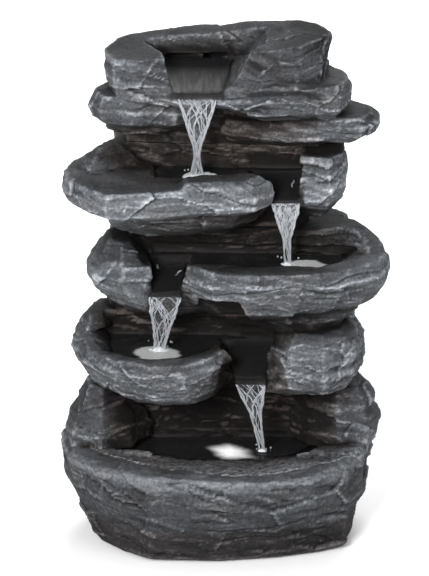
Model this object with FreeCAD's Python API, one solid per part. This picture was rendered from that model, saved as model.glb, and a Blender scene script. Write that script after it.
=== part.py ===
"""Tabletop water fountain: six bonded cast stone sections with cascading bowls, three pool lamps,
a submersible pump in the base and a riser hose to the top bowl.

Units are millimetres. X is to the right, Y to the rear and Z up. The origin is at the bottom centre.
Every node is written to parts/NODE.step, one or more closed solids each.
"""

import FreeCAD, Part
import math
import os

V = FreeCAD.Vector
REARWARD = V(0, 1, 0)

# Overall size. The rock's roughness is trimmed to these limits.
HEIGHT = 280.0
HALF_WIDTH = 90.0
HALF_DEPTH = 76.0
FACET = 17.0
ROUGH = 1.1

# Feet under the base.
PAD_H = 1.5
PAD_R = 8.0

# Heights where one cast section is bonded to the next.
JOINT_BASIN = 54.0
JOINT_LOWER = 121.0
JOINT_MIDDLE = 170.0
JOINT_SLAB = 217.0
JOINT_CROWN = 266.5

# Pump well and the room above it.
WELL_HALF_W = 38.0
WELL_Y = (18.0, 60.0)
WELL_FLOOR = 6.0
ROOM_HALF_W = 36.0
ROOM_Y = (20.0, 60.0)
ROOM_TOP = 94.0
SHAFT_HALF_W = 14.0
SHAFT_Y = (24.0, 50.0)

# Rear access opening and its door.
DOOR_W = 60.0
DOOR_Z = (60.0, 98.0)
DOOR_GAP = 0.4
DOOR_SEAT_Y = 64.0
DOOR_REBATE = 4.0

# Cord grommet in the sill of the access opening.
GROMMET_X = 18.0
GROMMET_W = 11.0
GROMMET_BORE_R = 3.0
GROMMET_Y = (60.5, 76.0)

# Riser hose and the fitting at its top.
HOSE_Y = 39.0
HOSE_R = 5.5
HOSE_BORE_R = 4.0
HOSE_Z = (40.0, 249.0)
FITTING_BORE_R = 2.8
PLENUM_FLOOR = 257.0

# Submersible pump. Its rotor turns on a line along Y at x = 0.
PUMP_Z = 24.0
PUMP_HALF_W = 17.0
PUMP_BOTTOM, PUMP_TOP = 9.0, 39.0
STRAINER_Y = 23.5
COVER_Y = 33.5
VOLUTE_Y = 35.0
ROTOR_Y = 43.0
ROTOR_END_Y = 56.0
PUMP_REAR_Y = 58.5
VOLUTE_R = 10.5
IMPELLER_R = 9.5
MAGNET_R = 6.0
ROTOR_BORE_R = 6.8
PIN_R = 1.0
RUNNING = 0.05
BUSH_R = 1.9
DIAL_R = 5.5

# Pool lamps: a sealed capsule in each pool's floor. x, y and floor height, then the lead's corners.
LAMP_R = 6.0
LAMP_H = 11.0
LAMP_WALL = 1.2
LEAD_R = 1.1
LAMPS = {
    "basin": (4.0, -12.0, 30.0),
    "lower": (-37.0, -20.0, 100.0),
    "middle": (44.0, -12.0, 147.0),
}
LEAD_Z = {name: floor - LAMP_H + 1.7 for name, (x, y, floor) in LAMPS.items()}

# Junction block on the left wall of the room over the pump.
JUNCTION_X = (-36.0, -24.0)
JUNCTION_Y = (24.0, 50.0)
JUNCTION_Z = (64.0, 80.0)
LEAD_CORNERS = {
    "basin": [(-28.0, 28.0, LEAD_Z["basin"]), (-28.0, 28.0, JUNCTION_Z[0])],
    "lower": [(-30.0, 34.0, LEAD_Z["lower"]), (-30.0, 34.0, JUNCTION_Z[1])],
    "middle": [(10.0, 28.0, LEAD_Z["middle"]), (10.0, 28.0, 72.0), (JUNCTION_X[1], 28.0, 72.0)],
}


# ---------------------------------------------------------------- small helpers
def stray(seed, ring, index):
    """A repeatable number from -1 to 1 for one rock corner."""
    value = math.sin(seed * 12.9898 + ring * 78.233 + index * 37.719) * 43758.5453
    return 2.0 * (value - math.floor(value)) - 1.0


def box(x0, x1, y0, y1, z0, z1):
    return Part.makeBox(x1 - x0, y1 - y0, z1 - z0, V(x0, y0, z0))


def rod(radius, start, end):
    """A solid cylinder from one point to another."""
    a, b = V(*start), V(*end)
    return Part.makeCylinder(radius, (b - a).Length, a, b - a)


def tube(outer, inner, start, end):
    return rod(outer, start, end).cut(rod(inner, start, end))


def centre_of(outline):
    return (
        sum(x for x, _ in outline) / len(outline),
        sum(y for _, y in outline) / len(outline),
    )


def split_edges(outline):
    """The outline with every edge longer than FACET divided evenly."""
    points = []
    for (x0, y0), (x1, y1) in zip(outline, outline[1:] + outline[:1]):
        parts = max(1, math.ceil(math.hypot(x1 - x0, y1 - y0) / FACET))
        points += [
            (x0 + (x1 - x0) * k / parts, y0 + (y1 - y0) * k / parts)
            for k in range(parts)
        ]
    return points


def inset(outline, distance):
    """The outline drawn in towards its centre by a distance."""
    cx, cy = centre_of(outline)
    moved = []
    for x, y in outline:
        reach = math.hypot(x - cx, y - cy)
        keep = 1.0 - distance / max(reach, 1e-6)
        moved.append((cx + (x - cx) * keep, cy + (y - cy) * keep))
    return moved


def mix(first, second, share):
    return [
        (a + (c - a) * share, b + (d - b) * share)
        for (a, b), (c, d) in zip(first, second)
    ]


def flat_face(points):
    return Part.Face(Part.makePolygon(points + [points[0]]))


def rings_to_solid(rings):
    """A closed solid of flat facets through rings of equal length, with a flat cap at each end."""
    faces = [flat_face(rings[0][::-1]), flat_face(rings[-1])]
    count = len(rings[0])
    for level, (low, high) in enumerate(zip(rings, rings[1:])):
        for i in range(count):
            j = (i + 1) % count
            if (i + level) % 2:
                triangles = ([low[i], low[j], high[j]], [low[i], high[j], high[i]])
            else:
                triangles = ([low[i], low[j], high[i]], [low[j], high[j], high[i]])
            faces += [flat_face(list(t)) for t in triangles]
    solid = Part.makeSolid(Part.makeShell(faces))
    if solid.Volume < 0:
        solid.reverse()
    return solid


def rough_ring(outline, z, seed, ring, rough):
    cx, cy = centre_of(outline)
    points = []
    for i, (x, y) in enumerate(outline):
        reach = max(math.hypot(x - cx, y - cy), 1e-6)
        push = rough * stray(seed, ring, i)
        points.append(V(x + (x - cx) / reach * push, y + (y - cy) / reach * push, z))
    return points


def ledge(outline, levels, seed, rough=ROUGH):
    """A rock layer: an outline in plan, drawn in by a distance at each (height, distance) level."""
    fine = split_edges(outline)
    return rings_to_solid(
        [
            rough_ring(inset(fine, distance), z, seed, ring, rough)
            for ring, (z, distance) in enumerate(levels)
        ]
    )


def tapered(low_outline, high_outline, levels, seed, rough=ROUGH):
    """A rock mass between two outlines of equal length. Each level is (height, share, inset)."""
    return rings_to_solid(
        [
            rough_ring(
                inset(mix(low_outline, high_outline, share), distance),
                z,
                seed,
                ring,
                rough,
            )
            for ring, (z, share, distance) in enumerate(levels)
        ]
    )


def hollow(*rings):
    """A cutter through rings of equal length, each (height, outline), lowest first."""
    return rings_to_solid([[V(x, y, z) for x, y in outline] for z, outline in rings])


def chute(rear, front, top_z, flare):
    """A cutter for a spillway. rear and front are (x0, x1, y, floor height). flare is how far its left and
    right sides lean outward at the top."""
    rear_x0, rear_x1, rear_y, rear_z = rear
    front_x0, front_x1, front_y, front_z = front
    floor = [
        V(front_x0, front_y, front_z),
        V(front_x1, front_y, front_z),
        V(rear_x1, rear_y, rear_z),
        V(rear_x0, rear_y, rear_z),
    ]
    left, right = flare
    open_top = [
        V(front_x0 - left, front_y, top_z),
        V(front_x1 + right, front_y, top_z),
        V(rear_x1 + right, rear_y, top_z),
        V(rear_x0 - left, rear_y, top_z),
    ]
    return rings_to_solid([floor, open_top])


def join(solids):
    return solids[0].multiFuse(solids[1:])


def trimmed(shape, low, high):
    """The shape's part between two heights and inside the overall width and depth."""
    return shape.common(box(-HALF_WIDTH, HALF_WIDTH, -HALF_DEPTH, HALF_DEPTH, low, high))


def routed(radius, points, bend):
    """A round lead along straight runs joined by tangent arcs."""
    stops = [V(*p) for p in points]
    edges = []
    start = stops[0]
    for before, corner, after in zip(stops, stops[1:], stops[2:]):
        into = (corner - before).normalize()
        out = (after - corner).normalize()
        half_turn = into.getAngle(out) / 2
        arc_start = corner - into * (bend * math.tan(half_turn))
        arc_end = corner + out * (bend * math.tan(half_turn))
        inward = (out - into).normalize()
        middle = corner + inward * (bend / math.cos(half_turn) - bend)
        edges += [Part.makeLine(start, arc_start), Part.Arc(arc_start, middle, arc_end).toShape()]
        start = arc_end
    edges.append(Part.makeLine(start, stops[-1]))
    profile = Part.Wire(Part.makeCircle(radius, stops[0], stops[1] - stops[0]))
    return Part.Wire(edges).makePipeShell([profile], True, False)


def save(name, *shapes):
    """Writes a node as separate closed solids."""
    solids = [solid for shape in shapes for solid in shape.Solids]
    shape = solids[0] if len(solids) == 1 else Part.makeCompound(solids)
    shape.exportStep(f"parts/{name}.step")
    print(
        f"{name}: {len(solids)} solid(s), {shape.Volume / 1000:.1f} cm3, valid {shape.isValid()}"
    )


# ---------------------------------------------------------------- passages shared by the sections
def hose_shaft(z0, z1):
    """The service shaft that the riser hose and a lamp lead run up."""
    return box(-SHAFT_HALF_W, SHAFT_HALF_W, *SHAFT_Y, z0, z1)


def lead_start(lamp):
    """The end of a lamp's lead, inside the capsule's base."""
    x, y, _ = LAMPS[lamp]
    centre = V(x, y, LEAD_Z[lamp])
    toward = (V(*LEAD_CORNERS[lamp][0]) - centre).normalize()
    return tuple(centre + toward * 2.5)


def lamp_seat(lamp):
    """The bore that holds a lamp, and the lead's passage from it to the rear."""
    x, y, floor = LAMPS[lamp]
    seat = rod(LAMP_R, (x, y, floor - LAMP_H), (x, y, floor + 4))
    return seat.fuse(rod(LEAD_R + 0.7, lead_start(lamp), LEAD_CORNERS[lamp][0]))


# ---------------------------------------------------------------- cast stone sections
def basin_section():
    """The base: a thick-rimmed pool at the front and the pump well behind it."""
    foot = [
        (-72, -12), (-67, -31), (-57, -47), (-42, -63), (-4, -65), (27, -58),
        (50, -50), (64, -40), (68, -16), (69, 10), (66, 34), (50, 56),
        (24, 66), (0, 68), (-26, 66), (-54, 56), (-69, 34), (-74, 12),
    ]
    lip = [
        (-90, -6), (-86, -33), (-70, -56), (-39, -71), (0, -77), (24, -75),
        (47, -67), (67, -48), (77, -22), (80, 8), (75, 38), (58, 62),
        (28, 74), (0, 75), (-30, 74), (-62, 63), (-82, 38), (-90, 16),
    ]
    body = tapered(
        foot,
        lip,
        [
            (PAD_H, 0.0, 0), (6, 0.14, 0), (13, 0.34, 0), (20, 0.5, 0), (26, 0.74, 0),
            (36, 0.9, 0), (44, 0.96, 0), (50, 1.0, 0), (JOINT_BASIN, 1.0, 4),
        ],
        seed=3,
        rough=0.9,
    )
    front_fall = box(-100, 100, -120, -27, JOINT_BASIN, JOINT_BASIN + 20)
    front_fall.rotate(V(0, -27, JOINT_BASIN), V(1, 0, 0), 4.2)
    beach = [
        (-70, -8), (-72, -34), (-52, -58), (-2, -65), (30, -62), (58, -42),
        (66, -10), (60, 11), (-66, 11),
    ]
    pool_edge = [
        (-58, -8), (-50, -23), (-22, -28), (0, -29), (20, -28), (36, -20),
        (45, -6), (49, 11), (-59, 11),
    ]
    pool_floor = [
        (-50, -4), (-43, -15), (-20, -21), (0, -22), (20, -21), (34, -15),
        (41, -3), (43, 10), (-50, 10),
    ]
    floor = LAMPS["basin"][2]
    pool = hollow((floor, pool_floor), (48.8, pool_edge), (JOINT_BASIN - 0.5, beach))
    well = box(-WELL_HALF_W, WELL_HALF_W, *WELL_Y, WELL_FLOOR, JOINT_BASIN + 1)
    well = well.makeFillet(6, [e for e in well.Edges if abs(e.tangentAt(0).z) > 0.9])
    body = body.cut(front_fall).cut(pool).cut(well).cut(lamp_seat("basin"))
    slot_count, slot_pitch, slot_w = 5, 12.0, 4.0
    for k in range(slot_count):
        x = (k - (slot_count - 1) / 2) * slot_pitch
        body = body.cut(box(x - slot_w / 2, x + slot_w / 2, 8, 20, 33, 47))
    return trimmed(body, PAD_H, JOINT_BASIN)


def lower_section():
    """The lower bowl, with the pump's room and the rear access opening beneath it."""
    hood = ledge(
        [
            (-62, 12), (-30, 11), (0, 12), (28, 11), (52, 6), (68, 2), (75, 20),
            (73, 46), (56, 64), (30, 72.5), (0, 73), (-30, 72.5), (-56, 64), (-75, 44), (-74, 22),
        ],
        [(JOINT_BASIN, 0), (60, -1), (66, 2), (74, -0.5), (82, 2), (90, 0), (98, 2)],
        seed=5,
        rough=0.8,
    )
    left_shoulder = ledge(
        [(-89, -4), (-85, -21), (-69, -28), (-52, -18), (-40, 4), (-50, 30), (-74, 42), (-87, 24)],
        [(JOINT_BASIN, 0.5), (60, 0.5), (66, 3), (74, 9), (84, 18)],
        seed=7,
    )
    right_shoulder = ledge(
        [(84, 2), (79, -14), (62, -22), (44, -14), (33, 2), (36, 18), (60, 32), (78, 26), (84, 14)],
        [(JOINT_BASIN, 2), (60, 0), (66, 1.5), (69, 4), (74, 3), (81, 7), (89, 13)],
        seed=9,
    )
    bowl = ledge(
        [
            (-85, -4), (-78, -34), (-63, -54), (-44, -64), (-24, -64), (-8, -49), (1, -33), (7, -27),
            (20, -27), (25, -25), (36, -39), (54, -42), (69, -29), (77, -6), (76, 24), (66, 48),
            (40, 64), (0, 70), (-40, 64), (-68, 46), (-82, 20),
        ],
        [(86, 19), (91, 9), (99, 3.5), (107, 0), (112.5, 4)],
        seed=11,
    )
    left_rise = ledge(
        [(-83, 10), (-77, -6), (-66, 0), (-60, 14), (-56, 44), (-70, 46), (-82, 26)],
        [(106, 0), (112, 1), (117, 4), (JOINT_LOWER, 9)],
        seed=12,
    )
    right_boulder = ledge(
        [(24, -22), (34, -38), (54, -42), (69, -29), (77, -6), (75, 22), (60, 40), (32, 40), (26, 10)],
        [(87, 9), (92, 2.5), (99, 0), (104, 1.5), (110, 0.5), (117, 5), (JOINT_LOWER, 11)],
        seed=13,
    )
    wall = ledge(
        [(-66, 15), (-30, 13), (0, 16), (24, 12), (66, 8), (72, 26), (62, 52), (0, 68), (-50, 60), (-70, 34)],
        [(104, 0), (110, -1), (115, 1.5), (JOINT_LOWER, 0)],
        seed=15,
        rough=0.8,
    )
    body = join([hood, left_shoulder, right_shoulder, bowl, left_rise, right_boulder, wall])
    pool = hollow(
        (
            LAMPS["lower"][2],
            [(-58, -6), (-54, -22), (-40, -32), (-24, -32), (-14, -22), (-6, -6), (4, 8), (-4, 13), (-56, 13)],
        ),
        (
            108,
            [(-66, -6), (-61, -27), (-43, -38), (-24, -38), (-12, -27), (-3, -8), (8, 10), (-2, 14), (-64, 14)],
        ),
        (
            114,
            [(-77, -6), (-71, -33), (-47, -52), (-24, -50), (-10, -34), (0, -12), (12, 12), (-2, 15), (-72, 15)],
        ),
    )
    spill = chute((0, 26, 10, 104.5), (7, 20, -30, 91), JOINT_LOWER + 2, (18, 5))
    room = box(-ROOM_HALF_W, ROOM_HALF_W, *ROOM_Y, JOINT_BASIN - 1, ROOM_TOP)
    inner_w = DOOR_W / 2 - DOOR_REBATE
    z0, z1 = DOOR_Z
    window = box(-inner_w, inner_w, 58, 80, z0 + DOOR_REBATE, z1 - DOOR_REBATE)
    door_seat = box(-DOOR_W / 2, DOOR_W / 2, DOOR_SEAT_Y, 80, z0, z1)
    half = GROMMET_W / 2
    cord_notch = box(GROMMET_X - half, GROMMET_X + half, 58, 80, z0 - half, z0 + DOOR_REBATE + 1)
    shaft = hose_shaft(90, JOINT_LOWER + 1)
    for cutter in (pool, spill, room, window, door_seat, cord_notch, shaft, lamp_seat("lower")):
        body = body.cut(cutter)
    return trimmed(body, JOINT_BASIN, JOINT_LOWER)


def middle_section():
    """The wide middle bowl, spilling at its left."""
    neck = ledge(
        [(-60, 13), (-20, 11), (20, 7), (50, 3), (65, 10), (67, 34), (52, 58), (0, 66), (-46, 60), (-64, 36)],
        [(JOINT_LOWER, 0), (128, -1), (135, 1.5), (150, 0), (160, -1), (JOINT_MIDDLE, 1)],
        seed=21,
        rough=0.8,
    )
    underlayer = ledge(
        [(14, -12), (26, -24), (48, -28), (66, -16), (72, 4), (66, 30), (30, 34), (10, 16)],
        [(JOINT_LOWER, 6), (126, 0), (136, 0)],
        seed=23,
    )
    bowl = ledge(
        [
            (-76, -3), (-71, -20), (-58, -30), (-44, -27), (-40, -25), (-26, -25), (-20, -32),
            (-8, -44), (12, -47), (40, -45), (64, -37), (82, -22), (91, -4), (89, 16), (76, 38),
            (50, 57), (0, 66), (-46, 58), (-68, 36), (-75, 14),
        ],
        [(128, 22), (134, 11), (142, 4.5), (151, 0), (158.5, 4)],
        seed=25,
    )
    right_rise = ledge(
        [(30, 12), (50, 6), (66, 3), (80, -4), (88, 6), (84, 24), (72, 40), (50, 54), (22, 58)],
        [(150, 3), (157, 0), (162, 3), (166, 8), (JOINT_MIDDLE, 15)],
        seed=26,
    )
    left_arm = ledge(
        [(-77, 0), (-71, -18), (-57, -28), (-46, -24), (-42, -4), (-42, 14), (-54, 30), (-72, 22)],
        [(140, 6), (147, 1.5), (154, 0), (160, 3), (165, 8), (169, 13)],
        seed=27,
    )
    body = join([neck, underlayer, bowl, right_rise, left_arm])
    pool = hollow(
        (
            LAMPS["middle"][2],
            [(-38, -3), (-20, -9), (16, -11), (44, -19), (54, -14), (57, 3), (28, 7), (-36, 10)],
        ),
        (
            156,
            [(-41, -6), (-23, -15), (15, -18), (50, -20), (64, -10), (65, 5), (30, 8), (-40, 12)],
        ),
        (
            161,
            [(-43, -8), (-26, -29), (14, -36), (56, -30), (78, -9), (76, 8), (30, 9), (-42, 14)],
        ),
    )
    spill = chute((-43, -23, 10, 153), (-40, -26, -28, 141.5), JOINT_MIDDLE + 2, (2, 9))
    cave = hollow(
        (120, [(-20, -60), (12, -60), (16, -12), (-18, -10)]),
        (143, [(-16, -60), (5, -60), (10, -22), (-15, -20)]),
    )
    for cutter in (pool, spill, cave, hose_shaft(JOINT_LOWER - 1, JOINT_MIDDLE + 1), lamp_seat("middle")):
        body = body.cut(cutter)
    return trimmed(body, JOINT_LOWER, JOINT_MIDDLE)


def slab_section():
    """The wide flat slab, spilling at its right."""
    neck = ledge(
        [(-62, 18), (-20, 14), (20, 12), (38, 10), (45, 20), (44, 40), (34, 54), (0, 63), (-44, 58), (-62, 42)],
        [(JOINT_MIDDLE, 0), (177, -1.5), (184, 1), (200, -1), (210, 1), (JOINT_SLAB, 0)],
        seed=31,
        rough=0.8,
    )
    underlayer = ledge(
        [(-67, 0), (-65, -22), (-50, -33), (-20, -31), (6, -24), (20, -8), (26, 14), (-10, 30), (-56, 30)],
        [(175, 12), (180, 3), (187, 0), (194, 3)],
        seed=33,
    )
    slab = ledge(
        [
            (-91, 0), (-89, -14), (-81, -33), (-66, -50), (-44, -50), (-26, -45), (-4, -41), (16, -38),
            (24, -26), (28, -17), (40, -17), (44, -16), (58, -15), (66, -2), (66, 24), (50, 50),
            (0, 62), (-46, 55), (-70, 38), (-86, 20),
        ],
        [(189.5, 9), (193, 2), (200, 0), (206.5, 2)],
        seed=35,
        rough=0.8,
    )
    left_rise = ledge(
        [(-84, 4), (-76, -8), (-58, -2), (-44, 10), (-46, 34), (-66, 38), (-80, 24)],
        [(203, 0), (208, 3), (212, 8), (JOINT_SLAB, 15)],
        seed=36,
    )
    raised_rim = ledge(
        [(-24, -42), (-4, -39), (14, -36), (22, -24), (16, -16), (-14, -17), (-26, -26)],
        [(203, 0), (207, 0), (210, 3.5)],
        seed=37,
        rough=0.7,
    )
    right_arm = ledge(
        [(42, -13), (57, -15), (66, -2), (66, 24), (52, 46), (30, 52), (22, 24), (31, 5)],
        [(179, 14), (184, 9), (190, 4), (199, 0), (208, 0.5), (JOINT_SLAB, 1)],
        seed=39,
    )
    body = join([neck, underlayer, slab, left_rise, raised_rim, right_arm])
    pool = hollow(
        (201, [(-34, -8), (-14, -10), (20, -11), (38, -6), (40, 8), (-32, 12)]),
        (206, [(-42, -11), (-15, -15), (21, -15), (41, -8), (42, 10), (-40, 15)]),
        (212, [(-46, -12), (-16, -17), (22, -17), (42, -9), (43, 11), (-44, 16)]),
    )
    spill = chute((15, 42, 10, 201.5), (26, 40, -22, 191.5), JOINT_SLAB + 2, (13, 1))
    for cutter in (pool, spill, hose_shaft(JOINT_MIDDLE - 1, JOINT_SLAB + 1)):
        body = body.cut(cutter)
    return trimmed(body, JOINT_MIDDLE, JOINT_SLAB)


def top_rock():
    """The crowning rock on its thin ledges. Water wells up behind the notch and runs down it. The rock is
    cast in two sections that meet at the roof of the water's passage."""
    neck = ledge(
        [(-54, 20), (-20, 16), (20, 13), (50, 9), (60, 22), (54, 44), (30, 54), (0, 58), (-36, 54), (-54, 40)],
        [(JOINT_SLAB, 0), (224, -1), (232, 1), (250, 0)],
        seed=41,
        rough=0.8,
    )
    right_lower = ledge(
        [(84, 0), (76, -12), (50, -10), (20, -6), (-2, 4), (0, 34), (40, 46), (72, 32), (84, 14)],
        [(221, 10), (225, 2), (231, 0), (236, 3)],
        seed=43,
    )
    right_lower.rotate(V(40, 10, 228), REARWARD, -4)
    left_lower = ledge(
        [(-66, 4), (-58, -6), (-36, -9), (-18, 2), (-16, 22), (-50, 34), (-64, 20)],
        [(226, 8), (230, 1), (236, 0)],
        seed=45,
    )
    left_upper = ledge(
        [(-75, 2), (-70, -9), (-52, -15), (-28, -16), (-14, -6), (-12, 18), (-40, 40), (-66, 32), (-75, 14)],
        [(232, 9), (236, 1), (243, 0), (250, 4)],
        seed=47,
    )
    right_upper = ledge(
        [(69, 2), (63, -12), (44, -20), (16, -19), (0, -6), (0, 20), (30, 48), (60, 38), (69, 18)],
        [(237, 10), (242, 2.5), (250, 0), (257, 3)],
        seed=49,
    )
    low = [
        (-64, 2), (-60, -10), (-44, -18), (-27, -21), (-22, -19), (-8, -19), (-3, -21), (18, -24), (38, -21),
        (52, -8), (55, 14), (48, 36), (28, 50), (6, 54), (-18, 53), (-42, 47), (-60, 30), (-65, 14),
    ]
    high = [
        (-66, 4), (-62, -4), (-46, -6), (-36, -4), (-30, 2), (4, 2), (8, -4), (22, -7), (42, -5),
        (53, 4), (57, 16), (50, 36), (28, 50), (6, 54), (-18, 53), (-42, 47), (-60, 30), (-67, 16),
    ]
    crown = tapered(
        low,
        high,
        [
            (246, -0.1, 9), (250, 0.0, 2), (258, 0.2, 0), (267, 0.55, 0),
            (275, 0.9, 0), (HEIGHT + 6, 1.2, 0),
        ],
        seed=51,
        rough=0.8,
    )
    body = join([neck, right_lower, left_lower, left_upper, right_upper, crown])
    for fall in (4.5, -13):
        slope = box(-120, 120, -90, 120, HEIGHT, HEIGHT + 40)
        slope.rotate(V(20, 34, HEIGHT), REARWARD, -4.6)
        slope.rotate(V(20, 34, HEIGHT), V(1, 0, 0), fall)
        body = body.cut(slope)
    notch = rings_to_solid(
        [
            [V(-27, -28, 254), V(-4, -28, 254), V(3, 20, 262), V(-36, 20, 262)],
            [V(-31, -28, 290), V(0, -28, 290), V(36, 30, 290), V(-60, 30, 290)],
        ]
    )
    mouth = box(-34, 1, 17, 30, 261, JOINT_CROWN)
    plenum = box(-13, 13, 27, 47, PLENUM_FLOOR, JOINT_CROWN)
    hose_bore = rod(HOSE_R + 0.5, (0, HOSE_Y, JOINT_SLAB - 1), (0, HOSE_Y, HOSE_Z[1] + 1))
    neck_bore = rod(HOSE_BORE_R + 0.3, (0, HOSE_Y, HOSE_Z[1]), (0, HOSE_Y, PLENUM_FLOOR + 1))
    for cutter in (notch, mouth, plenum, hose_bore, neck_bore):
        body = body.cut(cutter)
    return body


# ---------------------------------------------------------------- rear door, grommet and feet
def access_door():
    """Rock-faced cover of the rear opening, with a finger scoop."""
    half = DOOR_W / 2 - DOOR_GAP
    z0, z1 = DOOR_Z[0] + DOOR_GAP, DOOR_Z[1] - DOOR_GAP
    mid = (z0 + z1) / 2
    outline = [
        (-half, z0), (0, z0), (half, z0), (half, mid), (half, z1), (0, z1), (-half, z1), (-half, mid),
    ]
    inner = [V(x, DOOR_SEAT_Y, z) for x, z in outline]
    edge = [V(x, 71.0, z) for x, z in outline]
    face = [V(x * 0.86, 75.4, mid + (z - mid) * 0.82) for x, z in outline]
    door = rings_to_solid([inner, edge, face])
    scoop = Part.makeSphere(9, V(-14, 79, 88))
    reach = GROMMET_W / 2 + DOOR_GAP
    notch = box(GROMMET_X - reach, GROMMET_X + reach, 60, 80, 50, DOOR_Z[0] + reach)
    return door.cut(scoop).cut(notch)


def cord_grommet():
    """Rubber block in the sill's notch. The power cord passes through its bore."""
    y0, y1 = GROMMET_Y
    z = DOOR_Z[0]
    half = GROMMET_W / 2
    body = box(GROMMET_X - half, GROMMET_X + half, y0, y1, z - half, z + half)
    return body.cut(rod(GROMMET_BORE_R, (GROMMET_X, y0 - 1, z), (GROMMET_X, y1 + 1, z)))


def foot_pads():
    places = [(-50, -38), (48, -36), (48, 40), (-52, 40)]
    return [Part.makeCylinder(PAD_R, PAD_H, V(x, y, 0)) for x, y in places]


# ---------------------------------------------------------------- pump
def along_y(radius, y0, y1):
    """A solid cylinder on the rotor's line."""
    return rod(radius, (0, y0, PUMP_Z), (0, y1, PUMP_Z))


def pump_housing():
    """Volute and potted motor in one moulding, with the outlet nozzle on top."""
    block = box(-PUMP_HALF_W, PUMP_HALF_W, VOLUTE_Y, PUMP_REAR_Y, PUMP_BOTTOM, PUMP_TOP)
    block = block.makeFillet(3, [e for e in block.Edges if abs(e.tangentAt(0).y) > 0.9])
    nozzle = rod(HOSE_BORE_R, (0, HOSE_Y, PUMP_TOP - 1), (0, HOSE_Y, HOSE_Z[0] + 11))
    outlet = rod(FITTING_BORE_R, (0, HOSE_Y, PUMP_Z), (0, HOSE_Y, HOSE_Z[0] + 12))
    body = block.fuse(nozzle).cut(outlet).cut(along_y(VOLUTE_R, VOLUTE_Y - 1, ROTOR_Y))
    body = body.cut(along_y(ROTOR_BORE_R, ROTOR_Y - 1, ROTOR_END_Y))
    return body.cut(along_y(BUSH_R, ROTOR_END_Y - 1, ROTOR_END_Y + 1.5))


def volute_cover():
    """Plate over the volute. Three arms hold the front bush in the middle of the intake."""
    plate = box(-16.5, 16.5, COVER_Y, VOLUTE_Y, 9.5, 38.5)
    plate = plate.cut(along_y(6.0, COVER_Y - 1, VOLUTE_Y + 1))
    plate = plate.fuse(along_y(3.0, COVER_Y, VOLUTE_Y))
    for k in range(3):
        arm = box(-0.8, 0.8, COVER_Y, VOLUTE_Y, PUMP_Z + 2, PUMP_Z + 7)
        arm.rotate(V(0, 0, PUMP_Z), REARWARD, 60 + 120 * k)
        plate = plate.fuse(arm)
    return plate.cut(along_y(BUSH_R, COVER_Y - 1, VOLUTE_Y + 1))


def strainer_cover():
    """Slotted cup over the intake."""
    cup = box(-16, 16, STRAINER_Y, COVER_Y, 10, 38)
    cup = cup.makeFillet(3, [e for e in cup.Edges if abs(e.tangentAt(0).y) > 0.9])
    cup = cup.cut(box(-14.5, 14.5, STRAINER_Y + 1.5, COVER_Y + 1, 11.5, 36.5))
    for x in (-12.0, -8.5, 8.5, 12.0):
        cup = cup.cut(box(x - 1, x + 1, STRAINER_Y - 1, STRAINER_Y + 2, 14, 34))
    for k in range(4):
        z = 15.5 + 5 * k
        cup = cup.cut(box(-18, 18, STRAINER_Y + 3, COVER_Y - 2, z, z + 2))
    return cup.cut(along_y(1.5 + RUNNING, STRAINER_Y - 1, STRAINER_Y + 2))


def flow_dial():
    """Knob on the strainer's face. Its stem turns in the strainer's wall and carries a half shutter."""
    face = STRAINER_Y - 0.2
    knob = along_y(DIAL_R, face - 2.0, face)
    grip = box(-1, 1, face - 3.2, face - 1.5, PUMP_Z - 4.5, PUMP_Z + 4.5)
    stem = along_y(1.5, face - 0.5, STRAINER_Y + 3.4)
    shutter = along_y(6.5, STRAINER_Y + 1.9, STRAINER_Y + 3.4)
    shutter = shutter.cut(box(-8, 8, STRAINER_Y, STRAINER_Y + 5, PUMP_Z, PUMP_Z + 9))
    return knob.fuse(grip).fuse(stem).fuse(shutter)


def impeller():
    """Six straight vanes on a back plate and hub."""
    wheel = along_y(IMPELLER_R, 40.8, 42.0).fuse(along_y(3.2, 36.2, 42.4))
    for k in range(6):
        vane = box(-0.6, 0.6, 36.2, 41.0, PUMP_Z + 2, PUMP_Z + IMPELLER_R - 0.3)
        vane.rotate(V(0, 0, PUMP_Z), REARWARD, 60 * k)
        wheel = wheel.fuse(vane)
    return wheel.cut(along_y(PIN_R + RUNNING, 35, 44))


def rotor_magnet():
    """Magnet behind the impeller, with a short collar that keys to its hub."""
    magnet = along_y(MAGNET_R, 43.6, 55.4).fuse(along_y(3.2, 42.4, 44.0))
    return magnet.cut(along_y(PIN_R + RUNNING, 42, 56))


def suction_cup(x, y):
    """Cup foot under the pump."""
    cup = Part.makeCone(5.5, 2.5, PUMP_BOTTOM - WELL_FLOOR, V(x, y, WELL_FLOOR))
    return cup.cut(Part.makeCone(4.4, 1.0, 1.5, V(x, y, WELL_FLOOR)))


# ---------------------------------------------------------------- hose, lamps and leads
def top_fitting():
    """Flanged outlet on the plenum's floor, with a tail in the hose's top end."""
    flange = rod(8.0, (0, HOSE_Y, PLENUM_FLOOR), (0, HOSE_Y, PLENUM_FLOOR + 2))
    tail = rod(HOSE_BORE_R, (0, HOSE_Y, HOSE_Z[1] - 11), (0, HOSE_Y, PLENUM_FLOOR + 1))
    bore = rod(FITTING_BORE_R, (0, HOSE_Y, HOSE_Z[1] - 12), (0, HOSE_Y, PLENUM_FLOOR + 3))
    return flange.fuse(tail).cut(bore)


def lamp_body(lamp):
    """Sealed capsule cup with a blind socket for the lead."""
    x, y, floor = LAMPS[lamp]
    radius = LAMP_R - 0.2
    cup = rod(radius, (x, y, floor - LAMP_H), (x, y, floor - 1))
    cup = cup.cut(rod(radius - LAMP_WALL, (x, y, floor - LAMP_H + 3.4), (x, y, floor)))
    return cup.cut(rod(LEAD_R, lead_start(lamp), LEAD_CORNERS[lamp][0]))


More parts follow.
